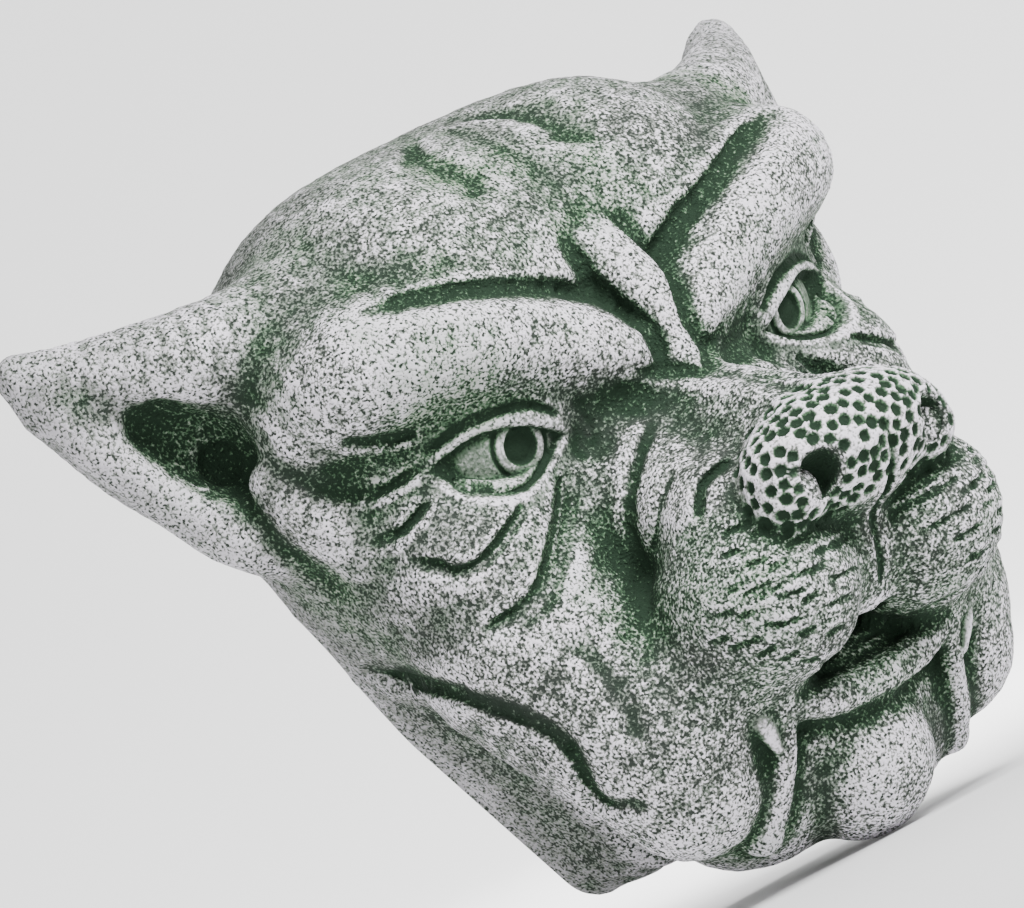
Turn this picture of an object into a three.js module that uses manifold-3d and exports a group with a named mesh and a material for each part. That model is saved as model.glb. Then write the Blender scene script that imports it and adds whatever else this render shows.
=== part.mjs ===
import * as THREE from "three";
import Module from "manifold-3d";
import { MarchingCubes } from "three/addons/objects/MarchingCubes.js";
import { mergeVertices } from "three/addons/utils/BufferGeometryUtils.js";

// A wall gargoyle: a heavy-jowled beast's head with bat ears, cast as one block of stone.
// Millimetres, +Z up. The flat back lies in the plane y = 0 and the face looks to -Y.

// Overall sizes, and how far the eyes are above the origin on the back
const EAR_SPAN = 350;
const HEAD_DEPTH = 186;
const HEAD_HEIGHT = 278;
const EYE_LEVEL = 31;

// Sizes of the features on a head of these overall sizes; they grow and shrink with it
const SKULL_HALF_WIDTH = 114;
const SKULL_FORWARD = 70;
const CROWN_SPREAD = 44;
const NECK_HALF_WIDTH = 96;
const NECK_DROP = 146;
const NECK_DEPTH = 42;
const EYE_SPREAD = 67;
const EYEBALL_RADIUS = 24;
const EYE_OPENING = 46;
const EYE_TURN = 9;
const EYE_DROP = 20;
const BROW_RADIUS = 19;
const FOLD_RADIUS = 13;
const NOSE_HALF_WIDTH = 42;
const NOSE_HALF_HEIGHT = 21;
const NOSTRIL_SPREAD = 27;
const NOSTRIL_RADIUS = 6.6;
const FLEW_RADIUS = 33;
const JOWL_RADIUS = 27;
const CHIN_RADIUS = 28;
const LIP_RADIUS = 7;
const FANG_LENGTH = 18;
const FANG_RADIUS = 5;
const EAR_RISE = 94;
const EAR_RIM_RADIUS = 9;
const EAR_HOLLOW_DEPTH = 26;

// The lattice that the skin is stepped on: how many steps, how long they are, and by what share
// they are shorter across the middle of the face than at the ears
const STEPS = 50;
const STEP_SIZE = 7.6;
const FACE_FAVOUR = 0.3;
const SKIN_ROUNDS = 4;

// Places are written across, forward from the wall and up from the eyes, for a head
// 350 wide, 186 deep and 278 high, and follow the overall sizes through these three
const WIDE = EAR_SPAN / 350;
const DEEP = HEAD_DEPTH / 186;
const TALL = HEAD_HEIGHT / 278;
const GIRTH = Math.cbrt(WIDE * DEEP * TALL);

// Building blocks: every mass is a distance to its skin, negative inside the stone

// A ball with its own half sizes across, forward and up
function ball(across, forward, up, rx, ry, rz) {
  const centre = [across * WIDE, forward * DEEP, up * TALL];
  const half = [rx * WIDE, ry * DEEP, rz * TALL];
  return (x, y, z) => {
    const dx = (x - centre[0]) / half[0];
    const dy = (y - centre[1]) / half[1];
    const dz = (z - centre[2]) / half[2];
    const near = Math.hypot(dx, dy, dz);
    const slope = Math.hypot(dx / half[0], dy / half[1], dz / half[2]);
    return slope > 1e-9 ? (near * (near - 1)) / slope : -Math.min(...half);
  };
}

// A roll of stone that follows a smooth curve through its stations [across, forward, up, radius]
function roll(...stations) {
  const places = stations.map(([x, y, z]) => new THREE.Vector3(x * WIDE, y * DEEP, z * TALL));
  const count = (stations.length - 1) * (stations.length > 2 ? 5 : 1);
  const points = new THREE.CatmullRomCurve3(places).getPoints(count);
  const radii = points.map((_, i) => {
    const place = (i / count) * (stations.length - 1);
    const first = Math.min(Math.floor(place), stations.length - 2);
    return GIRTH * THREE.MathUtils.lerp(stations[first][3], stations[first + 1][3], place - first);
  });
  const around = new THREE.Box3().setFromPoints(points).getBoundingSphere(new THREE.Sphere());
  around.radius += Math.max(...radii);
  return (x, y, z) => {
    const clear = Math.hypot(x - around.center.x, y - around.center.y, z - around.center.z) - around.radius;
    if (clear > 24) return clear;
    let best = Infinity;
    for (let i = 0; i < count; i++) {
      const a = points[i];
      const bx = points[i + 1].x - a.x;
      const by = points[i + 1].y - a.y;
      const bz = points[i + 1].z - a.z;
      const along = ((x - a.x) * bx + (y - a.y) * by + (z - a.z) * bz) / (bx * bx + by * by + bz * bz);
      const t = Math.min(1, Math.max(0, along));
      const gap = Math.hypot(x - a.x - t * bx, y - a.y - t * by, z - a.z - t * bz);
      best = Math.min(best, gap - (radii[i] + t * (radii[i + 1] - radii[i])));
    }
    return best;
  };
}

// Two masses run together with a fillet about k wide
function blend(a, b, k) {
  const h = Math.max(k - Math.abs(a - b), 0) / k;
  return Math.min(a, b) - h * h * k * 0.25;
}

// One mass is hollowed out by another with a rounded edge about k wide
function carve(a, b, k) {
  return -blend(-a, b, k);
}

// A tooled line drawn as it is seen from the three-quarter front: from (u0, z0) to (u1, z1),
// bowed sideways by bow, width wide and depth deep, fading out at both ends
function groove(u0, z0, u1, z1, bow, width, depth) {
  const du = u1 - u0;
  const dz = z1 - z0;
  const span = Math.hypot(du, dz);
  return (u, z) => {
    const t = ((u - u0) * du + (z - z0) * dz) / (span * span);
    if (t < -0.15 || t > 1.15) return 0;
    const side = ((z - z0) * du - (u - u0) * dz) / span;
    const off = side - bow * 4 * t * (1 - t);
    const ends = Math.min(1, Math.max(0, (0.5 - Math.abs(t - 0.5)) * 5 + 0.4));
    return depth * ends * Math.exp(-((off / width) ** 2));
  };
}

// The bulk of the head
const skull = ball(0, 14, 24, SKULL_HALF_WIDTH, SKULL_FORWARD, 84);
const crownLobe = ball(CROWN_SPREAD, 34, 40, 64, 68, 68);
const crownFill = ball(0, 34, 42, 58, 60, 61);
const temple = ball(78, 36, 2, 40, 46, 60);
const midface = ball(0, 58, -34, 78, 54, 60);
const cheekbone = ball(82, 66, -27, 34, 34, 30);
const jowl = roll([76, 66, -58, 39], [67, 82, -98, 33], [61, 86, -122, JOWL_RADIUS]);

// The brows run down and inwards to the bridge, with an upright fold between them
const brow = roll(
  [16, 103, 11, BROW_RADIUS * 0.52],
  [40, 98, 24, BROW_RADIUS * 0.8],
  [70, 93, 38, BROW_RADIUS * 1.02],
  [99, 79, 45, BROW_RADIUS * 1.12],
  [113, 58, 38, BROW_RADIUS * 0.8],
);
const browRoot = ball(90, 52, 50, 30, 27, 24);
const centralFold = roll(
  [1, 106, 5, FOLD_RADIUS * 0.45],
  [4, 99, 26, FOLD_RADIUS * 0.92],
  [2, 90, 44, FOLD_RADIUS * 0.96],
);

// The muzzle, the nose pad on it and the two hanging flews
const muzzleRidge = roll([0, 102, -14, 15], [0, 132, -32, 19], [0, 158, -48, 22]);
const muzzleSide = roll([26, 100, -34, 20], [30, 128, -56, 26]);
const nosePad = ball(0, 160, -46, NOSE_HALF_WIDTH, 25, NOSE_HALF_HEIGHT);
const noseWing = ball(31, 160, -53, 13, 16, 13);
const nostril = roll(
  [NOSTRIL_SPREAD, 194, -51, NOSTRIL_RADIUS * 0.94],
  [NOSTRIL_SPREAD, 176, -52, NOSTRIL_RADIUS],
  [NOSTRIL_SPREAD + 1, 164, -55, NOSTRIL_RADIUS * 0.82],
);
const septum = roll([0, 152, -62, 9], [0, 149, -78, 9], [0, 144, -89, 7]);
const flew = ball(35, 130, -79, FLEW_RADIUS, FLEW_RADIUS + 2, FLEW_RADIUS - 2);
const flewSide = roll([44, 118, -86, 24], [60, 98, -104, 22]);

// The lower jaw with its ball of a chin, the throat that closes the mouth behind, the lip with a
// flap that hangs from each end of it, and the two small fangs
const lowerJaw = ball(0, 76, -126, 58, 42, 30);
const throat = ball(0, 70, -103, 54, 38, 18);
const chin = ball(0, 94, -141, CHIN_RADIUS, CHIN_RADIUS - 1, CHIN_RADIUS);
const lowerLip = roll(
  [0, 120, -121, LIP_RADIUS],
  [22, 120, -119, LIP_RADIUS * 0.93],
  [40, 119, -113, LIP_RADIUS * 0.79],
);
const lipShelf = ball(0, 96, -112, 40, 24, 12);
const lipFlap = roll(
  [40, 119, -114, LIP_RADIUS * 0.75],
  [41, 113, -126, LIP_RADIUS * 0.75],
  [43, 105, -136, LIP_RADIUS * 0.8],
  [47, 90, -151, LIP_RADIUS * 0.85],
);
const underJaw = ball(24, 74, -138, 36, 30, 24);
const fang = roll(
  [52, 118, -108, FANG_RADIUS],
  [49, 118, -108 - FANG_LENGTH / 2, FANG_RADIUS * 0.86],
  [46, 116, -108 - FANG_LENGTH, FANG_RADIUS * 0.36],
);

// The eyes: a ball of lid round each eyeball, and a hollow in the inner corner by the nose
const eyeball = ball(EYE_SPREAD, 68, 5, EYEBALL_RADIUS, EYEBALL_RADIUS, EYEBALL_RADIUS);
const lid = ball(EYE_SPREAD, 68, 5, EYEBALL_RADIUS + 5, EYEBALL_RADIUS + 4.5, EYEBALL_RADIUS - 3);
const innerCorner = ball(EYE_SPREAD - 22, 106, -7, 8, 12, 8);

// The lids part in an almond that looks outwards and down with the eye
const toEye = new THREE.Matrix4()
  .makeRotationX(THREE.MathUtils.degToRad(EYE_DROP))
  .multiply(new THREE.Matrix4().makeRotationZ(THREE.MathUtils.degToRad(EYE_TURN)))
  .multiply(new THREE.Matrix4().makeTranslation(-EYE_SPREAD * WIDE, -68 * DEEP, -5 * TALL));
const eyePoint = new THREE.Vector3();

function eyeOpening(x, y, z) {
  eyePoint.set(x, y, z).applyMatrix4(toEye);
  const half = (EYE_OPENING / 2) * GIRTH;
  const side = (eyePoint.x - 2 * GIRTH) / half;
  const rise = (eyePoint.z - 1 * GIRTH) / half - 0.12 * side;
  const arch = rise > 0 ? rise / 0.37 : -rise / 0.33;
  return Math.max((arch - (1 - side * side)) * 6 * GIRTH, 8 * GIRTH - eyePoint.y);
}

// The ears: an upper and a lower rim that meet in the tip, a shell between them and a hollow
const earTop = roll(
  [94, 44, EAR_RISE - 28, EAR_RIM_RADIUS * 2.6],
  [124, 36, EAR_RISE - 22, EAR_RIM_RADIUS * 2.1],
  [150, 20, EAR_RISE - 12, EAR_RIM_RADIUS * 1.5],
  [170, 5, EAR_RISE + 2, EAR_RIM_RADIUS * 0.5],
);
const earBottom = roll(
  [102, 32, -6, EAR_RIM_RADIUS * 1.3],
  [131, 26, 14, EAR_RIM_RADIUS * 1.25],
  [147, 20, 36, EAR_RIM_RADIUS * 1.07],
  [162, 15, 64, EAR_RIM_RADIUS * 0.87],
  [169, 4, EAR_RISE - 1, EAR_RIM_RADIUS * 0.5],
);
const earShell = roll([110, 6, 40, 30], [138, 4, 58, 20], [160, 2, 80, 11]);
const earHollow = roll([124, 46, 38, 9], [134, 38, 42, 12], [152, EAR_HOLLOW_DEPTH, 66, 8]);
const earLobe = roll([127, 44, 26, 6.5], [120, 48, 10, 11], [110, 52, -8, 10]);

// Tooled lines, each [u0, z0, u1, z1, bow, width, depth]
const grooves = [
  // the crease over the brow, and the fold it runs into
  [73, 60, 14, 39, 5, 4.5, 3.5],
  [14, 39, -5, 26, 2, 4, 3.5],
  // two bags under the eye
  [95, -17, 56, -18, -13, 4.2, 3.2],
  [84, -47, 45, -22, -6, 4.5, 3.6],
  // crow's feet
  [108, 14, 82, 22, 2, 3.6, 2.4],
  [108, 3, 84, 8, 2, 3.6, 2.4],
  [100, -14, 82, -3, -2, 3.6, 2.4],
  // upright folds beside the muzzle
  [2, -18, 27, -50, 3, 5, 4],
  // the crease between jowl and neck
  [126, -42, 67, -122, 6, 4.2, 5],
].map((line) => groove(...line));
const THREE_QUARTER = THREE.MathUtils.degToRad(40);

// The neck is a block with a level foot and sides that draw in below
function neckAt(x, y, z) {
  const sides = x - NECK_HALF_WIDTH;
  const taper = (x - NECK_HALF_WIDTH + 12) * 0.894 - (z + 80) * 0.447;
  const foot = -NECK_DROP - z;
  const front = y - NECK_DEPTH;
  const top = z - 20;
  return [taper, foot, front, top].reduce((all, side) => -blend(-all, -side, 10), sides);
}

// The whole head; all but the upright fold is alike on both sides
function headAt(px, y, z) {
  const x = Math.abs(px);
  let d = skull(x, y, z);
  d = blend(d, crownLobe(x, y, z), 16);
  d = blend(d, crownFill(x, y, z), 22);
  d = blend(d, neckAt(x / WIDE, y / DEEP, z / TALL), 14);
  d = blend(d, temple(x, y, z), 22);
  d = blend(d, midface(x, y, z), 20);
  d = blend(d, cheekbone(x, y, z), 16);
  d = blend(d, earShell(x, y, z), 16);
  d = blend(d, earTop(x, y, z), 14);
  d = blend(d, earBottom(x, y, z), 10);
  d = carve(d, earHollow(x, y, z), 8);
  d = blend(d, earLobe(x, y, z), 8);
  d = blend(d, lowerJaw(x, y, z), 8);
  d = blend(d, throat(x, y, z), 8);
  d = blend(d, lipShelf(x, y, z), 6);
  d = blend(d, underJaw(x, y, z), 8);
  d = blend(d, jowl(x, y, z), 9);
  d = blend(d, browRoot(x, y, z), 16);
  d = blend(d, brow(x, y, z), 12);
  d = blend(d, centralFold(px, y, z), 6);
  d = blend(d, muzzleRidge(x, y, z), 12);
  d = blend(d, muzzleSide(x, y, z), 14);
  d = carve(d, innerCorner(x, y, z), 6);
  d = blend(d, lid(x, y, z), 6);
  d = carve(d, eyeOpening(x, y, z), 2);
  d = blend(d, eyeball(x, y, z), 1);
  d = blend(d, chin(x, y, z), 4);
  d = blend(d, lipFlap(x, y, z), 4);
  d = blend(d, lowerLip(x, y, z), 4);
  d = blend(d, flewSide(x, y, z), 10);
  d = blend(d, flew(x, y, z), 6);
  d = blend(d, septum(x, y, z), 6);
  d = blend(d, fang(x, y, z), 2);
  d = blend(d, nosePad(x, y, z), 5);
  d = blend(d, noseWing(x, y, z), 4);
  d = carve(d, nostril(x, y, z), 3);
  const u = (x / WIDE) * Math.cos(THREE_QUARTER) - (y / DEEP - 90) * Math.sin(THREE_QUARTER);
  for (const line of grooves) d += line(u, z / TALL);
  return Math.max(d, -8 - y);
}

// A lattice point, counted from -1 to 1 each way, in its place round the head
function placeOf(fx, fy, fz) {
  const across = EAR_SPAN * 0.65 * (fx * (1 - FACE_FAVOUR) + fx * fx * fx * FACE_FAVOUR);
  const reach = (STEPS * STEP_SIZE * GIRTH) / 2;
  return new THREE.Vector3(across, (HEAD_DEPTH * 0.5) + reach * fy, reach * fz - EYE_LEVEL);
}

// Where the four corners of a lattice square are stone and air by turns, the skin could run either
// way across it, so the weakest corner of air is filled
function settleCorners(field) {
  const row = [1, STEPS, STEPS * STEPS];
  const squares = [[row[0], row[1]], [row[1], row[2]], [row[2], row[0]]];
  for (let filled = 1; filled > 0;) {
    filled = 0;
    for (let i = 0; i < field.length - row[0] - row[1] - row[2]; i++) {
      for (const [a, b] of squares) {
        const corners = [i, i + a, i + a + b, i + b];
        const stone = corners.map((c) => field[c] > 0);
        if (stone[0] !== stone[2] || stone[1] !== stone[3] || stone[0] === stone[1]) continue;
        const air = corners.filter((c) => field[c] <= 0).sort((c, d) => field[d] - field[c]);
        field[air[0]] = 0.05;
        filled++;
      }
    }
  }
}

// The skin between stone and air, stepped on the lattice
function steppedSkin() {
  const cubes = new MarchingCubes(STEPS, new THREE.Material(), false, false, 60000);
  cubes.isolation = 0;
  const half = STEPS / 2;
  for (let i = 0; i < cubes.field.length; i++) {
    const steps = [i % STEPS, Math.floor(i / STEPS) % STEPS, Math.floor(i / STEPS / STEPS)];
    const p = placeOf(...steps.map((step) => (step - half) / half));
    cubes.field[i] = -headAt(p.x, p.y, p.z) || -0.01;
  }
  settleCorners(cubes.field);
  cubes.update();
  const loose = new THREE.BufferGeometry();
  const corners = cubes.positionArray.slice(0, cubes.count * 3);
  loose.setAttribute("position", new THREE.BufferAttribute(corners, 3));
  const geometry = mergeVertices(loose, 1e-6);
  const position = geometry.getAttribute("position");
  for (let i = 0; i < position.count; i++) {
    const p = placeOf(position.getX(i), position.getY(i), position.getZ(i));
    position.setXYZ(i, p.x, p.y, p.z);
  }
  return geometry;
}

// The points are evened out along the skin, each towards the middle of its neighbours, and drawn
// straight onto the stone
function settle(geometry) {
  const position = geometry.getAttribute("position");
  const neighbours = Array.from({ length: position.count }, () => new Set());
  for (let i = 0; i < geometry.index.count; i += 3) {
    const corners = [0, 1, 2].map((c) => geometry.index.getX(i + c));
    corners.forEach((a, c) => neighbours[a].add(corners[(c + 1) % 3]).add(corners[(c + 2) % 3]));
  }
  const p = new THREE.Vector3();
  const slope = new THREE.Vector3();
  const drift = new THREE.Vector3();
  const other = new THREE.Vector3();
  const e = 0.3;
  for (let round = 1; round <= SKIN_ROUNDS; round++) {
    for (let i = 0; i < position.count; i++) {
      p.fromBufferAttribute(position, i);
      const d = headAt(p.x, p.y, p.z);
      slope.x = (headAt(p.x + e, p.y, p.z) - d) / e;
      slope.y = (headAt(p.x, p.y + e, p.z) - d) / e;
      slope.z = (headAt(p.x, p.y, p.z + e) - d) / e;
      const steep = Math.max(slope.lengthSq(), 0.3);
      p.addScaledVector(slope, -THREE.MathUtils.clamp(d / steep, -3, 3));
      if (round < SKIN_ROUNDS) {
        drift.set(0, 0, 0);
        neighbours[i].forEach((n) => drift.add(other.fromBufferAttribute(position, n)));
        drift.divideScalar(neighbours[i].size).sub(p);
        slope.normalize();
        drift.addScaledVector(slope, -drift.dot(slope));
        p.addScaledVector(drift, 0.5);
      }
      position.setXYZ(i, p.x, p.y, p.z);
    }
  }
}

// Forward and height over the eyes become the part's own -Y and Z
function toFrame(geometry) {
  geometry.applyMatrix4(new THREE.Matrix4().set(1, 0, 0, 0, 0, -1, 0, 0, 0, 0, 1, EYE_LEVEL, 0, 0, 0, 1));
  const order = geometry.index.array;
  for (let i = 0; i < order.length; i += 3) [order[i], order[i + 1]] = [order[i + 1], order[i]];
  return geometry;
}

const wasm = await Module();
wasm.setup();

function solid(geometry) {
  const bare = geometry.clone();
  bare.deleteAttribute("normal");
  bare.deleteAttribute("uv");
  const merged = mergeVertices(bare, 1e-4);
  return new wasm.Manifold(new wasm.Mesh({
    numProp: 3,
    vertProperties: new Float32Array(merged.getAttribute("position").array),
    triVerts: new Uint32Array(merged.index.array),
  }));
}

const skin = steppedSkin();
settle(skin);

// Everything behind the wall plane is sawn off, which leaves the flat back
const block = new THREE.BoxGeometry(EAR_SPAN * 2, HEAD_DEPTH * 2, HEAD_HEIGHT * 3);
block.translate(0, -HEAD_DEPTH, 0);
const cast = solid(toFrame(skin)).intersect(solid(block)).getMesh();
const shape = new THREE.BufferGeometry();
shape.setAttribute("position", new THREE.BufferAttribute(new Float32Array(cast.vertProperties), 3));
shape.setIndex(new THREE.BufferAttribute(new Uint32Array(cast.triVerts), 1));
shape.computeVertexNormals();

const castStone = new THREE.MeshStandardMaterial({ color: 0x8f9a8c, roughness: 0.92, metalness: 0 });
const head = new THREE.Mesh(shape, castStone);
head.name = "gargoyle_head";

const gargoyle = new THREE.Group();
gargoyle.name = "wall_gargoyle";
gargoyle.add(head);

export default gargoyle;
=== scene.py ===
# %% [markdown]
# # A cast-stone gargoyle head
#
# The piece is one casting: a heavy-jowled beast with bat ears, made to hang flat against a wall.
# The solid part already has its pose and its main masses. Here it gets what a caster's mould
# holds: eyelids, the dimpled nose, whisker cuts, tooled creases and a rough rim, and then the
# painter's finish, a green wash with a pale dry brush over it.

# %% The frame of the part
import math
import random

import bmesh
import bpy
import numpy as np
from mathutils import Matrix, Vector
from mathutils.bvhtree import BVHTree


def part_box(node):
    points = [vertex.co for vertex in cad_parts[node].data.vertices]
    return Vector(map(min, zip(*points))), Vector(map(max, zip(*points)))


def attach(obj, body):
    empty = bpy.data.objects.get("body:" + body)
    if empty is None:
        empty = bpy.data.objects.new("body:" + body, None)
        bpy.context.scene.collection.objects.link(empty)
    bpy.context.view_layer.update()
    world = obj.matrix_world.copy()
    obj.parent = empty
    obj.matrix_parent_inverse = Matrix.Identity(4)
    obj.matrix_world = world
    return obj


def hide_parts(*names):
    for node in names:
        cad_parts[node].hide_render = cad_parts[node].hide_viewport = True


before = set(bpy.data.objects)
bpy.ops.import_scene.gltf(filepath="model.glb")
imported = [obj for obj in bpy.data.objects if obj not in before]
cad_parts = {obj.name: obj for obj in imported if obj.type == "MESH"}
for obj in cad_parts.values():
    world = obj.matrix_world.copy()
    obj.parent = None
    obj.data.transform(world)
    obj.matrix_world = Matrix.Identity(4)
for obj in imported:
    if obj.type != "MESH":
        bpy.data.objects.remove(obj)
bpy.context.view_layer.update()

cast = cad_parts["gargoyle_head"]
low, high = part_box("gargoyle_head")
print("solid:", len(cast.data.polygons), "triangles,", "size", [round(v, 3) for v in high - low])

# %% [markdown]
# ## Masses, the way a modeller in clay works
#
# A clay head is built from lumps that are pushed together and smoothed at the joins. The same
# can be done with distances: each lump tells how far a point is from its skin, negative inside.
# Two lumps are joined by the smaller distance, with a fillet where they meet, and a hollow is
# carved by the same rule turned inside out. All sizes are millimetres: across from the middle,
# forward from the wall and up from the level of the eyes.

# %% Lumps, rolls, fillets and hollows
EYE_LEVEL = 31.0


def ball(across, forward, up, half_width, half_depth, half_height):
    """A ball with its own half size each way."""
    centre = np.array([across, forward, up], np.float32)
    half = np.array([half_width, half_depth, half_height], np.float32)

    def distance(p):
        scaled = (p - centre) / half
        near = np.sqrt((scaled ** 2).sum(1))
        slope = np.sqrt(((scaled / half) ** 2).sum(1))
        return near * (near - 1) / np.maximum(slope, 1e-6)

    return distance


def smooth_path(stations, steps):
    """Points of a soft curve through the stations, all their numbers carried along."""
    rows = [np.array(s, float) for s in stations]
    if len(rows) == 2:
        return np.array([rows[0] + (rows[1] - rows[0]) * i / steps for i in range(steps + 1)])
    rows = [2 * rows[0] - rows[1]] + rows + [2 * rows[-1] - rows[-2]]
    out = []
    for i in range(steps * (len(stations) - 1) + 1):
        place = i / steps
        k = min(int(place), len(stations) - 2)
        t = place - k
        a, b, c, d = rows[k:k + 4]
        out.append(0.5 * (2 * b + (c - a) * t + (2 * a - 5 * b + 4 * c - d) * t * t
                          + (3 * b - a - 3 * c + d) * t ** 3))
    return np.array(out)


def roll(*stations):
    """A roll of clay along a curve; each station is a place and a radius."""
    path = smooth_path(stations, 5 if len(stations) > 2 else 1).astype(np.float32)
    middle = (path[:, :3].min(0) + path[:, :3].max(0)) / 2
    reach = np.linalg.norm(path[:, :3] - middle, axis=1).max() + path[:, 3].max()

    def distance(p):
        out = np.sqrt(((p - middle) ** 2).sum(1)) - reach
        close = out < 24
        q = p[close]
        best = np.full(len(q), 1e9, np.float32)
        for a, b in zip(path, path[1:]):
            along = b[:3] - a[:3]
            t = np.clip((q - a[:3]) @ along / (along @ along), 0, 1)
            gap = np.sqrt(((q - a[:3] - t[:, None] * along) ** 2).sum(1))
            best = np.minimum(best, gap - (a[3] + t * (b[3] - a[3])))
        out[close] = best
        return out

    distance.stations = stations
    return distance


def blend(a, b, k):
    """Two lumps run together with a fillet about k wide."""
    h = np.maximum(k - np.abs(a - b), 0) / k
    return np.minimum(a, b) - h * h * k * 0.25


def carve(a, b, k):
    """One lump hollowed out by another, with the rim rounded about k wide."""
    return -blend(-a, b, k)


def ease(x, start, end):
    """A soft step from 0 at start to 1 at end."""
    t = np.clip((x - start) / (end - start), 0, 1)
    return t * t * (3 - 2 * t)


halfway_in = np.array([[10.0, 0, 0]])
print("halfway into a ball of radius 20:", ball(0, 0, 0, 20, 20, 20)(halfway_in)[0], "mm")

# %% [markdown]
# ## The masses of this head
#
# The skull, temples and cheeks are broad balls. Brows, jowls and ear rims are rolls, because a
# modeller lays them on as strips. The list follows the solid part, so the finished skin keeps
# its form.

# %% Skull, cheeks, brows and jowls
skull = ball(0, 14, 24, 114, 70, 84)
crown_lobe = ball(44, 34, 40, 64, 68, 68)
temple = ball(78, 36, 2, 40, 46, 60)
midface = ball(0, 58, -34, 78, 54, 60)
cheekbone = ball(82, 66, -27, 34, 34, 30)
jowl = roll([76, 66, -58, 39], [67, 82, -98, 33], [61, 86, -122, 27])
brow = roll([16, 103, 11, 9.9], [40, 98, 24, 15.2], [70, 93, 38, 19.4], [99, 79, 45, 21.3],
            [113, 58, 38, 15.2])
central_fold = roll([1, 106, 5, 5.9], [4, 99, 26, 12], [2, 90, 44, 12.5])
crown_fill = ball(0, 34, 42, 58, 60, 61)
brow_root = ball(90, 52, 50, 30, 27, 24)
thickest = max(radius for across, forward, up, radius in brow.stations)
print("brow: a roll through", len(brow.stations), "stations, radius up to", thickest, "mm")

# %% Muzzle, nose, jaw, lip and fangs
muzzle_ridge = roll([0, 102, -14, 15], [0, 132, -32, 19], [0, 158, -48, 22])
muzzle_side = roll([26, 100, -34, 20], [30, 128, -56, 26])
nose_pad = ball(0, 160, -46, 42, 25, 21)
nose_wing = ball(31, 160, -53, 13, 16, 13)
nostril = roll([27, 194, -51, 6.6], [27, 176, -52, 7.2], [28, 164, -55, 6])
nostril_bulb = ball(31, 162, -54.5, 9, 11, 8.5)
nostril_tail = roll([31, 186, -57, 3.0], [36, 176, -63, 3.2])
septum = roll([0, 146, -62, 12], [0, 142, -78, 13], [0, 136, -90, 10])
flew = ball(35, 130, -79, 33, 35, 31)
flew_side = roll([44, 118, -86, 24], [60, 98, -104, 22])
lower_jaw = ball(0, 76, -126, 58, 42, 30)
throat = ball(0, 70, -103, 54, 38, 18)
chin = ball(0, 94, -141, 28, 27, 28)
lower_lip = roll([0, 120, -121, 7], [22, 120, -119, 6.5], [40, 119, -113, 5.5])
under_jaw = ball(24, 74, -138, 36, 30, 24)
lip_shelf = ball(0, 96, -112, 40, 24, 12)
lip_flap = roll([40, 119, -114, 5.2], [41, 113, -126, 5], [43, 105, -136, 5.5], [47, 90, -151, 6])
mouth = ball(0, 136, -104, 30, 16, 8)
fang = roll([52, 118, -108, 5], [49, 118, -117, 4.3], [46, 116, -126, 1.8])
print("fang:", fang.stations[0][2] - fang.stations[-1][2], "mm from root to tip")

# %% Eyes and ears
# where the lids part, and the middle of the ball behind them
LIDS_MEET = np.array([67, 68, 5], np.float32)
EYE_CENTRE = np.array([59, 60.8, 5], np.float32)
eyeball = ball(*EYE_CENTRE, 34.5, 34.5, 28)
lid = ball(*EYE_CENTRE, 38.3, 38.3, 23.5)
inner_corner = ball(45, 106, -7, 8, 12, 8)
ear_top = roll([94, 44, 66, 23.4], [124, 36, 72, 18.9], [150, 20, 82, 13.5], [170, 5, 96, 4.5])
ear_bottom = roll([102, 32, -6, 11.7], [131, 26, 14, 11.3], [147, 20, 36, 9.6], [162, 15, 64, 7.8],
                  [169, 4, 93, 4.5])
ear_shell = roll([110, 6, 40, 30], [138, 4, 58, 20], [160, 2, 80, 11])
ear_hollow = roll([124, 46, 38, 9], [134, 38, 42, 12], [147, 31, 59, 8])
ear_hole = roll([136, 38, 42, 6.5], [127, 26, 39, 7])
ear_lobe = roll([127, 44, 26, 6.5], [120, 48, 10, 11], [110, 52, -8, 10])
hole_rim = roll([138, 30, 54, 3], [142, 28, 46, 3.6], [139, 29, 37, 3])


def eye_opening(p):
    """The lids part in an almond that looks outwards and down with the eye."""
    turn, drop = math.radians(9), math.radians(20)
    dx, dy, dz = (p - LIDS_MEET).T
    side = dx * math.cos(turn) - dy * math.sin(turn)
    front = dx * math.sin(turn) + dy * math.cos(turn)
    rise = front * math.sin(drop) + dz * math.cos(drop)
    ahead = front * math.cos(drop) - dz * math.sin(drop)
    s = (side - 2) / 23
    tilt = (rise - 3.6) / 23 - 0.12 * s
    arch = np.where(tilt > 0, tilt / 0.37, -tilt / 0.33)
    return np.maximum((arch - (1 - s * s)) * 6, 8 - ahead)


def neck(p):
    """A block with a level foot and sides that draw in below."""
    x, y, z = p.T
    d = x - 96
    for side in ((x - 84) * 0.894 - (z + 80) * 0.447, -146 - z, y - 42, z - 20):
        d = -blend(-d, -side, 10)
    return d


print("ear's upper rim:", ear_top.stations[0][2], "to", ear_top.stations[-1][2], "mm above the eyes")


# %% [markdown]
# ## Tooled creases
#
# Wrinkles on a casting like this are cut with a wire tool from one side, so each is a soft
# channel with a little burr of clay pushed up beside it. They are drawn here as they are seen
# from the three-quarter front: sideways distance first, then height above the eyes.

# %% A crease and the list of creases
THREE_QUARTER = math.radians(40)


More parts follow.
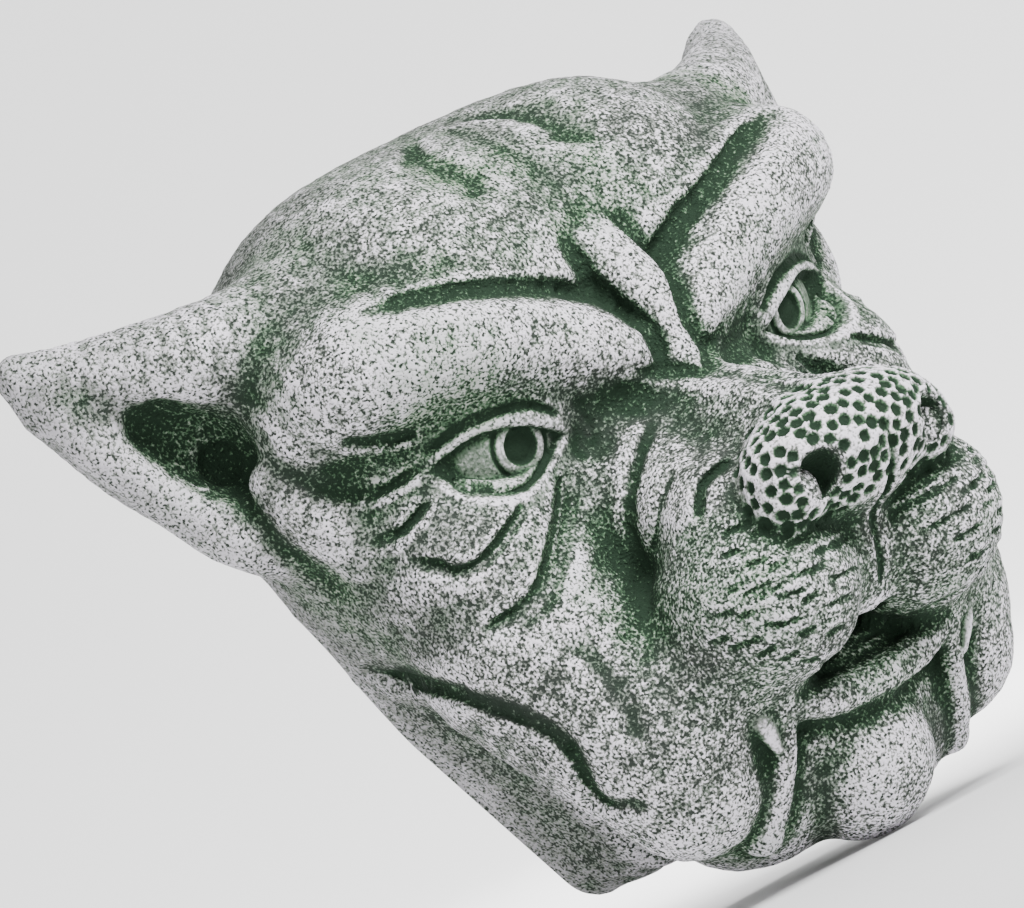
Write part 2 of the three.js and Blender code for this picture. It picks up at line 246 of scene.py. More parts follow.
def crease(places, width, depth, burr=0.0, front=40.0):
    """A channel along a soft curve; on its left a burr stands up, or is pared off if negative."""
    path = smooth_path(places, 6)
    start, end = path[:-1], path[1:]
    lengths = np.linalg.norm(end - start, axis=1)
    total = lengths.sum()
    before = np.concatenate([[0], np.cumsum(lengths)[:-1]])

    def cut(u, z, forward):
        out = np.zeros(len(u), np.float32)
        reach = width * 5
        lo, hi = path.min(0) - reach, path.max(0) + reach
        near = (u > lo[0]) & (u < hi[0]) & (z > lo[1]) & (z < hi[1]) & (forward > front)
        if not near.any():
            return out
        q = np.stack([u[near], z[near]], 1)
        best = np.full(len(q), 1e9)
        side = np.zeros(len(q))
        place = np.zeros(len(q))
        for a, b, length, run in zip(start, end, lengths, before):
            way = (b - a) / length
            t = np.clip((q - a) @ way, 0, length)
            gap = q - a - t[:, None] * way
            off = np.sqrt((gap ** 2).sum(1))
            closer = off < best
            best = np.where(closer, off, best)
            side = np.where(closer, way[0] * gap[:, 1] - way[1] * gap[:, 0], side)
            place = np.where(closer, (run + t) / total, place)
        fade = np.clip(np.minimum(place, 1 - place) * 5 + 0.35, 0, 1)
        depth_here = depth * np.exp(-(best / width) ** 2)
        raised = burr * np.exp(-((side - width * 1.9) / (width * 1.3)) ** 2) * (best < width * 4)
        ends = np.exp(-np.maximum(best - np.abs(side), 0) / width)
        out[near] = (depth_here - raised) * fade * ends * ease(forward[near], front, front + 8)
        return out

    return cut


# two bags under the eye
bag_lines = [
    crease([(96.8, -17.2), (89.5, -21.7), (84.2, -26.6), (73.3, -26.2), (57.1, -17.8)],
           1.2, 3.0, -1.8, 40),
    crease([(85.0, -47.7), (66.6, -44.4), (51.8, -29.8), (41.9, -15.6)], 1.2, 3.0, -1.6, 40),
]

creases = [
    # over the brow, then the two folds that run down between the brows
    crease([(73, 60.8), (47, 54), (19.6, 42.7), (0, 30.5)], 3.2, 4.4, 0.8, 50),
    crease([(5, 54), (3.2, 37), (-5, 18), (-5.7, 4)], 2.6, 3.4, 0.6, 60),
    crease([(-14.4, 58.7), (-22.4, 41.7), (-24.5, 20), (-18, 3)], 2.6, 3.0, 0.4, 60),
    # the upper and the lower lid
    crease([(76.3, 11.8), (60.9, 14.2), (42, 11.4), (33, 4)], 1.2, 2.4, 0.5, 50),
    crease([(75.5, 2.4), (68.9, -6.8), (53.0, -13.0), (38.5, -5.2)], 1.2, 2.2, 0.6, 50),
    *bag_lines,
    # the valley beside the lower bag
    crease([(80, -53), (62, -49), (47.5, -32), (37.5, -17)], 3.6, 2.0, 0, 40),
    # crow's feet
    crease([(98.9, 27), (89.2, 22.6), (78.0, 19.1)], 1.4, 2.8, 1.0, 40),
    crease([(106.4, 10.6), (95.2, 7.1), (82.5, 8.1)], 1.4, 2.8, 1.2, 40),
    crease([(105.3, -7.7), (95.3, -7.6), (83.9, -3.4)], 1.4, 2.8, 1.2, 40),
    # folds beside the muzzle
    crease([(6.9, -13.8), (18.4, -24.6), (27.3, -38.5), (30.4, -52.5)], 1.8, 2.6, 0.6, 80),
    crease([(7.2, -30.3), (16.6, -38.5), (24.5, -50.4)], 1.7, 2.2, 0.6, 80),
    crease([(-9.9, -36.0), (1.2, -38.9), (7.2, -47.0)], 1.9, 2.8, 0.8, 90),
    crease([(2.2, 4.2), (-12.2, -3.9), (-27.5, -13.9), (-41.5, -26.2)], 2.0, 2.0, 0.5, 90),
    # between jowl and neck, and the shallow valley in the crown
    crease([(125.8, -42.1), (98.0, -67.4), (79.7, -89.7), (76.9, -113.3), (66.6, -122.2)],
           2.6, 4.2, 0.6, -5),
    crease([(39.8, 104.9), (28.9, 90.0), (19.4, 79.6)], 5.0, 2.6, 0.0, 10),
    crease([(60.3, -66.2), (56.0, -86.9), (57.7, -104.6)], 4.0, 1.6, 0.4, 60),
]

# whisker cuts: rows of short strokes across each flew
WHISKER_ROWS, WHISKERS_IN_ROW = 5, 6
picks = random.Random(11)
whiskers = []
for row in range(WHISKER_ROWS):
    for step in range(WHISKERS_IN_ROW):
        s = (step + 0.5 + picks.uniform(-0.25, 0.25)) / WHISKERS_IN_ROW
        t = (row + 0.5 + picks.uniform(-0.15, 0.15)) / WHISKER_ROWS
        u = -2 - 34 * s + 25 * t + 2 * s * t
        z = -50 - 25 * s - 38 * t
        half = picks.uniform(2.6, 5.0)
        rise = picks.uniform(-0.4, 1.2)
        whiskers.append(crease([(u - half, z - rise), (u + half, z + rise)], 0.9, 1.5, 0.4, 96))
print(len(creases), "creases and", len(whiskers), "whisker cuts")


# %% The whole head as one distance
def seen_sideways(p):
    """Sideways distance as seen from the three-quarter front."""
    return p[:, 0] * math.cos(THREE_QUARTER) - (p[:, 1] - 90) * math.sin(THREE_QUARTER)


def head(p):
    """How far each point is from the stone's skin; p has across, forward and up."""
    q = p.copy()
    q[:, 0] = np.abs(p[:, 0])
    d = skull(q)
    d = blend(d, crown_lobe(q), 16)
    d = blend(d, crown_fill(p), 22)
    d = blend(d, neck(q), 14)
    d = blend(d, temple(q), 22)
    d = blend(d, midface(q), 20)
    d = blend(d, cheekbone(q), 16)
    d = blend(d, ear_shell(q), 16)
    d = blend(d, ear_top(q), 14)
    d = blend(d, ear_bottom(q), 10)
    d = carve(d, ear_hollow(q), 8)
    d = blend(d, ear_lobe(q), 8)
    d = carve(d, ear_hole(q), 3)
    d = blend(d, hole_rim(q), 3)
    d = blend(d, lower_jaw(q), 8)
    d = blend(d, throat(q), 8)
    d = blend(d, lip_shelf(q), 6)
    d = blend(d, under_jaw(q), 8)
    d = blend(d, jowl(q), 9)
    d = blend(d, brow_root(q), 16)
    d = blend(d, brow(q), 12)
    d = blend(d, central_fold(p), 6)
    d = blend(d, muzzle_ridge(q), 12)
    d = blend(d, muzzle_side(q), 14)
    d = carve(d, inner_corner(q), 6)
    d = blend(d, lid(q), 6)
    d = carve(d, eye_opening(q), 2.5)
    d = blend(d, eyeball(q), 1.5)
    d = blend(d, chin(q), 4)
    d = blend(d, lip_flap(q), 4)
    d = blend(d, lower_lip(q), 4)
    d = carve(d, mouth(q), 6)
    d = blend(d, flew_side(q), 10)
    d = blend(d, flew(q), 6)
    d = blend(d, septum(q), 9)
    d = blend(d, fang(q), 2)
    d = blend(d, nose_pad(q), 5)
    d = blend(d, nose_wing(q), 4)
    d = carve(d, nostril(q), 3)
    d = carve(d, nostril_tail(q), 2)
    d = blend(d, nostril_bulb(q), 1.5)
    x, forward, z = q.T
    u = seen_sideways(q)
    for cut in creases + whiskers:
        d = d + cut(u, z, forward)
    groove = np.exp(-(x / 1.3) ** 2) * ease(z, -96, -88) * ease(z, -44, -52)
    d = d + 2.4 * groove * ease(forward, 130, 140)
    return np.maximum(d, -3 - forward)


def to_pattern(v):
    """From the part's frame in metres to across, forward and up in millimetres."""
    places = [v[:, 0] * 1000, -v[:, 1] * 1000, v[:, 2] * 1000 - EYE_LEVEL]
    return np.stack(places, 1).astype(np.float32)


def to_frame(p):
    return np.stack([p[:, 0] / 1000, -p[:, 1] / 1000, (p[:, 2] + EYE_LEVEL) / 1000], 1)


def slope_at(p, d, step=0.35):
    """Which way the distance grows, by three small steps."""
    out = np.empty_like(p)
    for axis in range(3):
        moved = p.copy()
        moved[:, axis] += step
        out[:, axis] = (head(moved) - d) / step
    return out


deep = head(np.array([[0, 60, 0]], np.float32))[0]
print("in the middle of the head the distance reads", round(float(deep)), "mm")


# %% [markdown]
# ## A rough block
#
# A carver starts from a block that is only roughly right. The block is the solid part's own
# skin, its loose triangles merged, with balls laid along the small forms that its broad facets
# skip: fangs, lips, lids and ear rims. A voxel remesh then wraps all of it in one even net of
# squares that is fine enough to take the carving.

# %% The block and its even net
# side of the squares, and half sizes of the bead laid in each eye, in metres
NET = 0.00225
EYE_BEAD = (0.0372, 0.0372, 0.0225, 1)
block = bmesh.new()
block.from_mesh(cast.data)
bmesh.ops.remove_doubles(block, verts=block.verts, dist=1e-5)
for v in block.verts:
    if v.co.y > -0.0005:
        v.co.y = 0.006


def beads(form, sign, shrink):
    """Overlapping balls along a roll, a little slimmer than the roll itself."""
    for station in smooth_path(form.stations, 8):
        x, y, z, radius = station
        place = Matrix.Translation((sign * x / 1000, -y / 1000, (z + EYE_LEVEL) / 1000))
        size = max(radius - shrink, 1.5) / 1000
        bmesh.ops.create_icosphere(block, subdivisions=2, radius=size, matrix=place)


for sign in (-1, 1):
    for form in (fang, lower_lip, lip_flap):
        beads(form, sign, 0.4)
    beads(ear_top, sign, 1.2)
    beads(ear_bottom, sign, 1.2)
    across, forward, up = (float(c) / 1000 for c in EYE_CENTRE)
    eye_place = Matrix.Translation((sign * across, -forward, up + EYE_LEVEL / 1000))
    eye_shape = eye_place @ Matrix.Diagonal(EYE_BEAD)
    bmesh.ops.create_icosphere(block, subdivisions=3, radius=1, matrix=eye_shape)

rough = bpy.data.meshes.new("gargoyle_skin")
block.to_mesh(rough)
block.free()
stone = bpy.data.objects.new("gargoyle_skin", rough)
bpy.context.collection.objects.link(stone)
wrap = stone.modifiers.new("even net", "REMESH")
wrap.mode = "VOXEL"
wrap.voxel_size = NET
bpy.context.view_layer.update()
wrapped = stone.evaluated_get(bpy.context.evaluated_depsgraph_get())
netted = bpy.data.meshes.new_from_object(wrapped)
stone.modifiers.clear()
stone.data = netted
stone.name = "gargoyle_skin"
print("block:", len(netted.vertices), "points,", len(netted.polygons), "faces")

# %% [markdown]
# ## Drawing the net onto the skin
#
# Every point steps down the slope until its distance is nothing, like clay pared back to a
# template. Between the steps each point also slides towards the middle of its neighbours, but
# only along the skin, so the squares stay even and the form stays put.


# %% Pare the block back to the head
def link_list(bm):
    return np.array([[v.index for v in e.verts] for e in bm.edges], np.int64)


def neighbours_mean(places, links):
    total = np.zeros_like(places)
    count = np.zeros(len(places))
    size = len(places)
    for a, b in ((0, 1), (1, 0)):
        for axis in range(3):
            total[:, axis] += np.bincount(links[:, a], places[links[:, b], axis], size)
        count += np.bincount(links[:, a], minlength=size)
    return total / np.maximum(count, 1)[:, None]


def pare(places, links, rounds, slide=0.5, reach=2.5):
    p = places
    for turn in range(rounds):
        d = head(p)
        slope = slope_at(p, d)
        steep = np.maximum((slope ** 2).sum(1), 0.3)
        p = p - slope * np.clip(d / steep, -reach, reach)[:, None]
        if turn < rounds - 1:
            way = slope / np.sqrt(steep)[:, None]
            drift = neighbours_mean(p.astype(float), links).astype(np.float32) - p
            drift -= way * (drift * way).sum(1)[:, None]
            p = p + drift * slide
    return p


def places_of(bm):
    return to_pattern(np.array([v.co for v in bm.verts]))


def move(bm, p):
    for v, co in zip(bm.verts, to_frame(p)):
        v.co = co


skin = bmesh.new()
skin.from_mesh(stone.data)
skin.verts.ensure_lookup_table()
points = pare(places_of(skin), link_list(skin), 6)
move(skin, points)
print("worst distance left:", round(float(np.abs(head(points)).max()), 2), "mm")

# %% [markdown]
# ## A closer net where the carving is fine
#
# Nose, eyes, lips, ear holes and whisker cuts need smaller squares than the crown. Those edges
# are split once, those of the eyes and of the two bags once more, and the new points are drawn
# onto the skin as before.


# %% Split the net over the face
def split_where(chosen):
    mask = chosen(places_of(skin))
    for v, on in zip(skin.verts, mask):
        v.tag = bool(on)
    edges = [e for e in skin.edges if e.verts[0].tag and e.verts[1].tag]
    bmesh.ops.subdivide_edges(skin, edges=edges, cuts=1, use_grid_fill=True)
    skin.verts.ensure_lookup_table()
    skin.verts.index_update()
    move(skin, pare(places_of(skin), link_list(skin), 3))


def fine_face(p):
    x = np.abs(p[:, 0])
    eye = ((x - 74) / 40) ** 2 + ((p[:, 1] - 82) / 36) ** 2 + ((p[:, 2] + 8) / 38) ** 2 < 1
    nose = (p[:, 1] > 134) & (p[:, 2] > -72)
    flews = (p[:, 1] > 108) & (p[:, 2] < -48) & (p[:, 2] > -112)
    lips = (x < 58) & (p[:, 1] > 88) & (p[:, 2] < -100) & (p[:, 2] > -132)
    ear = ((x - 130) / 16) ** 2 + ((p[:, 1] - 34) / 24) ** 2 + ((p[:, 2] - 36) / 22) ** 2 < 1
    return eye | nose | flews | lips | ear


def finest_lines(p):
    q = np.stack([np.abs(p[:, 0]), p[:, 1], p[:, 2]], 1)
    u = seen_sideways(q)
    bags = sum(cut(u, p[:, 2], p[:, 1]) for cut in bag_lines)
    return (eyeball(q) < 1.2) & (eye_opening(q) < 3) | (bags > 0.25)


split_where(fine_face)
split_where(finest_lines)
print("net:", len(skin.verts), "points,", len(skin.faces), "faces")

# %% [markdown]
# ## The flat back
#
# The mould is open at the back, so the casting is struck off level there. One cut along the
# wall plane does the same, and the opening is closed with a single face.

# %% Strike off the back
everything = skin.verts[:] + skin.edges[:] + skin.faces[:]
wall = {"plane_co": (0, 0, 0), "plane_no": (0, 1, 0)}
bmesh.ops.bisect_plane(skin, geom=everything, dist=1e-6, clear_outer=True, **wall)
rim = [e for e in skin.edges if e.is_boundary]
bmesh.ops.contextual_create(skin, geom=rim)
# no other face has so many corners
back = [f for f in skin.faces if len(f.verts) > 60]
bmesh.ops.triangulate(skin, faces=back)
print("rim of the back:", len(rim), "edges, closed with", len(back), "face")

# %% [markdown]
# ## Fine relief: dimples, eye rings and grain
#
# The nose is punched all over with a round-ended tool, close but never touching, which leaves
# a pale net between dark dimples. The sites are dealt out at random and kept only where no
# earlier site is too near. Each iris is a ring round a drilled pupil. Sand in the mix leaves a
# grain on everything except the lids, eyeballs and fangs, which the modeller sponged smooth.

# %% Masks for nose, smooth parts and rim
skin.verts.ensure_lookup_table()
skin.verts.index_update()
skin.normal_update()
points = places_of(skin)
normals = np.array([v.normal for v in skin.verts])
sided = points.copy()
sided[:, 0] = np.abs(points[:, 0])
nose_mask = np.maximum(ease(nose_pad(sided), 2.4, 0.6), ease(nose_wing(sided), 2.4, 0.6))
nose_mask *= ease(points[:, 1], 140, 147) * ease(nostril(sided), 0.5, 2.0)
in_opening = eye_opening(sided)
on_eyeball = ease(eyeball(sided), 1.0, 0.4) * ease(in_opening, 1.5, 0)
on_lid = ease(np.abs(in_opening - 2.5), 6, 3) * ease(sided[:, 1], 80, 86)
on_fang = ease(fang(sided), 0.8, 0.2)
on_bulb = ease(nostril_bulb(sided), 2.5, 0.8)
in_ear = ease(sided[:, 0], 112, 120) * ease(sided[:, 1], 52, 44)
smooth_mask = np.clip(on_eyeball + 0.6 * on_lid + on_fang, 0, 1)
rough_foot = ease(points[:, 2], -134, -142) * ease(points[:, 1], 48, 42)
rough_rim = np.maximum(rough_foot, ease(points[:, 1], 9, 3))
print((smooth_mask > 0.5).sum(), "smooth points,", (nose_mask > 0.5).sum(), "on the nose")

# %% Nose dimples
DIMPLE_GAP, DIMPLE_DEPTH = 4.7, 1.4
deal = random.Random(5)
sites = []
candidates = list(np.flatnonzero(nose_mask > 0.85))
deal.shuffle(candidates)
for i in candidates:
    spot = points[i]
    if all(np.linalg.norm(spot - points[j]) > DIMPLE_GAP for j in sites):
        sites.append(i)
relief = np.zeros(len(points))
on_nose = np.flatnonzero(nose_mask > 0)
dimple = np.zeros(len(points))
for i in sites:
    stretch = deal.uniform(2.4, 3.0)
    away = np.linalg.norm(points[on_nose] - points[i], axis=1)
    dimple[on_nose] = np.maximum(dimple[on_nose], ease(away, stretch, stretch * 0.6))
relief -= DIMPLE_DEPTH * dimple
print(len(sites), "dimples")

# %% Iris rings and pupils
PUPIL, RING, GROOVE = 6.15, 8.2, 10.3
gaze = np.array([6.9, 33.7, -5.5])
gaze /= np.linalg.norm(gaze)
from_eye = sided - EYE_CENTRE
along = from_eye @ gaze
off_axis = np.linalg.norm(from_eye - along[:, None] * gaze, axis=1)
looking = on_eyeball * (along > 0)
relief -= 2.2 * looking * ease(off_axis, PUPIL + 0.45, PUPIL - 0.45)
relief -= 1.0 * looking * np.exp(-((off_axis - GROOVE) / 0.7) ** 2)
relief += 0.4 * looking * np.exp(-((off_axis - RING) / 1.0) ** 2)
print("pupils:", (looking * (off_axis < PUPIL) > 0.5).sum(), "points")


# %% [markdown]
# A sandy grain is built from a lattice of random numbers, read smoothly between its points.
# Two sizes are laid over each other, so no pattern shows.

# %% Grain
def grain(p, size, seed):
    """Smooth random heights between -1 and 1, about size millimetres apart."""
    table = np.random.default_rng(seed).uniform(-1, 1, (64, 64, 64))
    g = p / size + 1000
    cell = np.floor(g).astype(int)
    t = g - cell
    t = t * t * (3 - 2 * t)
    out = np.zeros(len(p))
    for dx in (0, 1):
        for dy in (0, 1):
            for dz in (0, 1):
                corner = np.array([dx, dy, dz])
                weight = np.where(corner, t, 1 - t).prod(1)
                i, j, k = ((cell + corner) % 64).T
                out += weight * table[i, j, k]
    return out


sand = grain(points, 3.1, 1) * 0.30 + grain(points, 6.7, 2) * 0.25
relief += sand * (1 - 0.85 * smooth_mask) * (1 - 0.8 * nose_mask)
relief += 0.9 * rough_rim * grain(points, 9.0, 3) + 0.5 * rough_rim * grain(points, 4.0, 4)
away_from_back = ease(points[:, 1], 0.05, 1.5)
relief *= away_from_back
points = points + relief[:, None] * np.stack([normals[:, 0], -normals[:, 1], normals[:, 2]], 1)
frame_places = to_frame(points)
frame_places = np.clip(frame_places, np.array(low), np.array(high))
for v, co in zip(skin.verts, frame_places):
    v.co = co
skin.normal_update()
print("relief from", round(relief.min(), 2), "to", round(relief.max(), 2), "mm")

# %% [markdown]
# ## Where the wash and the painted shade lie, and where the brush touches
#
# The green wash is thin, runs into every hollow and is wiped off the high places, and the same
# shut-in places are darkened towards near black as painted shade. The dry brush then only touches
# what stands proud. All of it is worked out from the shape: how shut in a place is, and how far it
# stands above the skin around it. They are kept on the piece as attributes, with the masks of the
# smooth parts and the nose.

# %% Hollow and ridge
normals = np.array([v.normal for v in skin.verts])
outward = np.stack([normals[:, 0], -normals[:, 1], normals[:, 2]], 1).astype(np.float32)
base = to_pattern(frame_places)
tree = BVHTree.FromBMesh(skin)
# seven feelers from each point, this long, look for stone around it
RAY = 0.032
tilts = [(0.0, 0.0)] + [(math.radians(52), math.radians(60 * k)) for k in range(6)]
shut_in = np.zeros(len(base))
for v in skin.verts:
    first = v.normal.orthogonal().normalized()
    second = v.normal.cross(first)
    start = v.co + v.normal * 0.0004
    total = 0.0
    for tilt, around in tilts:
        flat_way = first * math.cos(around + v.index) + second * math.sin(around + v.index)
        hit = tree.ray_cast(start, v.normal * math.cos(tilt) + flat_way * math.sin(tilt), RAY)
        if hit[0] is not None:
            total += 1 - hit[3] / RAY
    shut_in[v.index] = total / len(tilts)
links = link_list(skin)
for _ in range(2):
    shut_in = shut_in * 0.5 + 0.5 * neighbours_mean(np.stack([shut_in] * 3, 1), links)[:, 0]
smoothed = base.astype(float)
heights = []
for rounds in (6, 24):
    for _ in range(rounds):
        smoothed = smoothed + 0.5 * (neighbours_mean(smoothed, links) - smoothed)
    heights.append(((base - smoothed) * outward).sum(1))
print("shut in:", [round(float(v), 2) for v in np.percentile(shut_in, [5, 50, 90, 99])])
print("fine height:", [round(float(v), 3) for v in np.percentile(heights[0], [5, 50, 95])])
print("broad height:", [round(float(v), 3) for v in np.percentile(heights[1], [5, 50, 95])])
# hollow: the green wash in recesses, and painted shade in the same places; shut-in points, nose
# dimples, pupils and the iris groove get most
hollow = shut_in * 1.3 * (1 - 0.95 * on_eyeball) * (1 - 0.7 * on_bulb) * (1 - 0.4 * in_ear)
hollow += dimple * 0.65 + looking * ease(off_axis, PUPIL + 0.75, PUPIL - 0.15) * 0.8
hollow = np.clip(hollow + looking * 0.7 * np.exp(-((off_axis - GROOVE) / 0.8) ** 2), 0, 1)
ridge = np.clip(heights[0] / 0.25, -1, 1) * 0.35 + np.clip(heights[1] / 0.9, -1, 1) * 0.65

skin.to_mesh(stone.data)
skin.free()
for polygon in stone.data.polygons:
    polygon.use_smooth = True
kept = {"hollow": hollow, "ridge": ridge * 0.5 + 0.5, "smooth": smooth_mask, "nose": nose_mask}
for name, values in kept.items():
    layer = stone.data.attributes.new(name, "FLOAT", "POINT")
    layer.data.foreach_set("value", values.astype(np.float32))
stone.data.update()
triangles = sum(len(p.vertices) - 2 for p in stone.data.polygons)
print("finished skin:", triangles, "triangles")

# %% [markdown]
# ## The finish as a recipe of nodes
#
# Shader maths reads badly as boxes and wires, so a small class wraps a socket and lets numbers
# be added and multiplied as usual. Colours go through Mix, and every other node comes from one
# method that takes its type, its settings and its values.


# %% A socket that does sums
class Value:
    def __init__(self, recipe, socket):
        self.recipe = recipe
        self.socket = socket

    def sum(self, operation, first, second, clamp=False):
        settings = {"operation": operation, "use_clamp": clamp}
        return self.recipe.node("ShaderNodeMath", settings, {0: first, 1: second})

    def __add__(self, other):
        return self.sum("ADD", self, other)

    def __sub__(self, other):
        return self.sum("SUBTRACT", self, other)

    def __rsub__(self, other):
        return self.sum("SUBTRACT", other, self)

    def __mul__(self, other):
        return self.sum("MULTIPLY", self, other)

    def clamped(self):
        return self.sum("ADD", self, 0.0, True)

    def step(self, start, end):
        values = {"Value": self, "From Min": start, "From Max": end}
        return self.recipe.node("ShaderNodeMapRange", {"interpolation_type": "SMOOTHSTEP"}, values)


class Recipe:
    def __init__(self, name):
        self.material = bpy.data.materials.new(name)
        self.material.use_nodes = True
        self.tree = self.material.node_tree
        self.shader = self.tree.nodes["Principled BSDF"]

    def put(self, socket, value):
        if isinstance(value, Value):
            self.tree.links.new(value.socket, socket)
        else:
            socket.default_value = value

    def node(self, kind, settings, values, out=0):
        made = self.tree.nodes.new(kind)
        for key, value in settings.items():
            setattr(made, key, value)
        for key, value in values.items():
            self.put(made.inputs[key], value)
        return Value(self, made.outputs[out])

    def mix(self, amount, first, second):
        values = {0: amount, 6: first, 7: second}
        return self.node("ShaderNodeMix", {"data_type": "RGBA"}, values, 2)

    def attribute(self, name):
        return self.node("ShaderNodeAttribute", {"attribute_name": name}, {}, "Fac")


# %% [markdown]
# ## Cast stone, washed and dry-brushed
#
# The ground is a grey-green stone colour. Small pits and the grain catch the dark green wash,
# and hollows go darker still, towards near black, as painted shade.
# The dry brush is a dusty, slightly lilac off-white that takes on grains that stand up, more of
# them on ridges and hardly any in hollows. The pale also grows stronger the further forward a
# place stands from the wall.
# Stone like this has no shine at all.

# %% The cast-stone finish
recipe = Recipe("cast_stone")
place = recipe.node("ShaderNodeTexCoord", {}, {}, "Object")


def speckle(scale, detail, roughness):
    values = {"Vector": place, "Scale": scale, "Detail": detail, "Roughness": roughness}
    return recipe.node("ShaderNodeTexNoise", {"noise_dimensions": "3D"}, values)


fine = speckle(1000.0, 2.0, 0.5)
coarse = speckle(470.0, 1.0, 0.5)
patch = speckle(42.0, 3.0, 0.6)
cloud = speckle(16.0, 2.0, 0.5)
even_cells = {"Vector": place, "Scale": 620.0, "Randomness": 1.0}
cells = recipe.node("ShaderNodeTexVoronoi", {"feature": "F1"}, even_cells)
bent = cells + (fine - 0.5) * 0.8
pit = 1.0 - bent.step(0.10, 0.42)

# the hollow attribute carries the green wash of recesses and their painted shade
patina_and_shade = recipe.attribute("hollow")
on_ridge = recipe.attribute("ridge")
is_smooth = recipe.attribute("smooth")
is_nose = recipe.attribute("nose")
grainy = (1.0 - is_smooth * 0.7) * (1.0 - is_nose * 0.6)

sandy = ((fine - 0.5) * 3.9 + (coarse - 0.5) * 1.7 - pit * 0.9 + 0.12) * grainy
# shut-in places drop the tone towards the dark colours, which is painted shade, and below they take
# more of the green wash
proud = (on_ridge - 0.5) * 1.1 - patina_and_shade * 1.05 + (patch - 0.5) * 0.9 + (cloud - 0.5) * 0.7
tone = sandy + proud + 0.20 + is_smooth * 0.2 + is_nose * 0.35
run_in = patina_and_shade * 2.2 - (on_ridge - 0.5) * 1.2
washed = (run_in + (cloud - 0.5) * 2.4 + (patch - 0.5) * 1.2 + 0.4).clamped()

GREY = (0.195, 0.215, 0.190, 1)
GREEN = (0.068, 0.130, 0.071, 1)
# the two darkest colours serve the speckle of pits and grain, and painted shade in hollows; the
# second is green with the wash
SPECKLE_AND_SHADE = (0.034, 0.043, 0.036, 1)
WASHED_SPECKLE_AND_SHADE = (0.011, 0.027, 0.014, 1)
PALE = (0.880, 0.835, 0.920, 1)
MOSSY = (0.300, 0.370, 0.270, 1)
DUSTY = (0.330, 0.325, 0.340, 1)
# 0 at the wall and 1 a decimetre in front of it
forward = recipe.node("ShaderNodeSeparateXYZ", {}, {0: place}, 1) * -10.0
# pale from the dry brush on ridges, and paler the further forward a place stands from the wall
dry_brush_and_front = (forward * 1.3 - 0.85 + (on_ridge - 0.5) * 2.2 + (patch - 0.5) * 1.2).clamped()
# dark layer: the speckle of pits and grain, and painted shade where hollows drop the tone
speckle_and_shade_colour = recipe.mix(washed, SPECKLE_AND_SHADE, WASHED_SPECKLE_AND_SHADE)
middle = recipe.mix(washed, GREY, GREEN)
light = recipe.mix(washed * 0.8, recipe.mix(dry_brush_and_front, DUSTY, PALE), MOSSY)
pale = tone.step(0.4, 1.05)
colour = recipe.mix(pale, recipe.mix(tone.step(-0.15, 0.5), speckle_and_shade_colour, middle), light)

recipe.put(recipe.shader.inputs["Base Color"], colour)
recipe.put(recipe.shader.inputs["Roughness"], 0.92 - pale * 0.1)
recipe.shader.inputs["Specular IOR Level"].default_value = 0.25
height = (fine - 0.5) * 1.0 + (coarse - 0.5) * 0.8 - pit * 0.5
bumps = {"Strength": 0.75, "Distance": 0.0009, "Height": height * grainy}
dent = recipe.node("ShaderNodeBump", {}, bumps)
recipe.put(recipe.shader.inputs["Normal"], dent)
stone.data.materials.clear()
stone.data.materials.append(recipe.material)
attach(stone, "root")
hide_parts("gargoyle_head")
print("finish:", len(recipe.tree.nodes), "nodes")

# %% [markdown]
# ## Floor, light and camera
#
# The head stands on a plain pale floor that bends up far behind it, so that no edge shows. A
# broad soft lamp hangs above the face, a weaker one fills from the left of the picture, and a
# third lights only the sweep behind. The camera looks from the piece's right-hand three-quarter,
# level with the face and leaning, so that the ears run up and down the picture.

# %% A pale floor
paper = Recipe("pale_floor")
paper.shader.inputs["Base Color"].default_value = (0.86, 0.86, 0.86, 1)
paper.shader.inputs["Roughness"].default_value = 0.9
HALF_FLOOR, BEND_START, BEND = 9, 1.5, 2.0
sheet = bmesh.new()
bmesh.ops.create_grid(sheet, x_segments=1, y_segments=120, size=HALF_FLOOR)
for v in sheet.verts:
    past = v.co.y - BEND_START
    if past > 0:
        turn = min(past / BEND, math.pi / 2)
        v.co.y = BEND_START + BEND * math.sin(turn)
        v.co.z = BEND * (1 - math.cos(turn)) + max(past - BEND * math.pi / 2, 0)
away_from_camera = Matrix.Rotation(-THREE_QUARTER, 3, "Z")
bmesh.ops.rotate(sheet, verts=sheet.verts, cent=(0, 0, 0), matrix=away_from_camera)
bmesh.ops.translate(sheet, verts=sheet.verts, vec=(0, 0, low.z - 0.0005))
for face in sheet.faces:
    face.smooth = True
floor_mesh = bpy.data.meshes.new("floor")
sheet.to_mesh(floor_mesh)
sheet.free()
floor = bpy.data.objects.new("floor", floor_mesh)
floor.data.materials.append(paper.material)
bpy.context.collection.objects.link(floor)
print("floor:", len(floor_mesh.polygons), "faces")

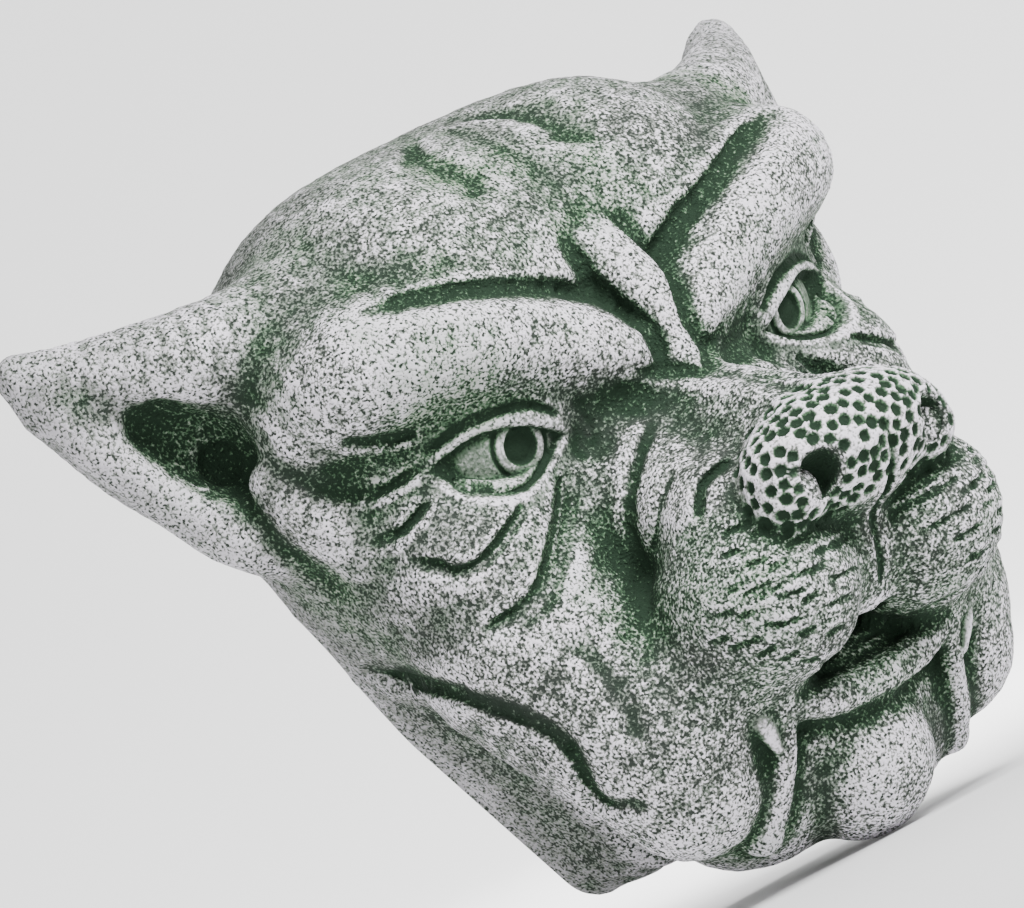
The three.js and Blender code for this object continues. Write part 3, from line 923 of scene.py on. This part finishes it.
# %% Camera
right_level = Vector((0.766, -0.643, 0))
towards = Vector((-0.643, -0.766, 0))
lean = math.radians(27)
picture_right = right_level * math.cos(lean) - Vector((0, 0, 1)) * math.sin(lean)
picture_up = right_level * math.sin(lean) + Vector((0, 0, 1)) * math.cos(lean)
aim = Vector((0, -0.0904, 0.031)) - right_level * 0.0524 - Vector((0, 0, 1)) * 0.0013
# metres from the aim to the camera, and metres across the picture at the aim
FAR = 4.0
WIDTH_SHOWN = 0.338
camera = bpy.data.objects.new("camera", bpy.data.cameras.new("camera"))
turned = Matrix((picture_right, picture_up, towards)).transposed().to_4x4()
camera.matrix_world = Matrix.Translation(aim + towards * FAR) @ turned
camera.data.sensor_width = 36
camera.data.lens = 36 * FAR / WIDTH_SHOWN
camera.data.clip_end = 100
bpy.context.collection.objects.link(camera)
bpy.context.scene.camera = camera
print("camera:", round(camera.data.lens), "mm lens,", FAR, "m away")


# %% Lights
def lamp(name, offset, size, power, target=None):
    """A square soft lamp aimed at the head; offset counts to the right, up and to the viewer."""
    right, up, near = offset
    spot = aim + picture_right * right + picture_up * up + towards * near
    light = bpy.data.objects.new(name, bpy.data.lights.new(name, "AREA"))
    light.data.shape = "SQUARE"
    light.data.size = size
    light.data.energy = power
    light.location = spot
    light.rotation_euler = ((target or aim) - spot).to_track_quat("-Z", "Y").to_euler()
    bpy.context.collection.objects.link(light)
    return light


lamps = [
    lamp("key", (0.25, 1.5, 0.75), 0.8, 62),
    lamp("fill", (-1.4, 0.3, 1.4), 1.4, 14),
    lamp("sweep lamp", (0.0, 1.1, -0.7), 1.5, 110, aim - towards * 2.6),
]
world = bpy.data.worlds.new("studio")
world.use_nodes = True
world.node_tree.nodes["Background"].inputs["Color"].default_value = (1, 1, 1, 1)
world.node_tree.nodes["Background"].inputs["Strength"].default_value = 0.42
bpy.context.scene.world = world
print(len(lamps), "lamps,", round(sum(light.data.energy for light in lamps)), "watts in all")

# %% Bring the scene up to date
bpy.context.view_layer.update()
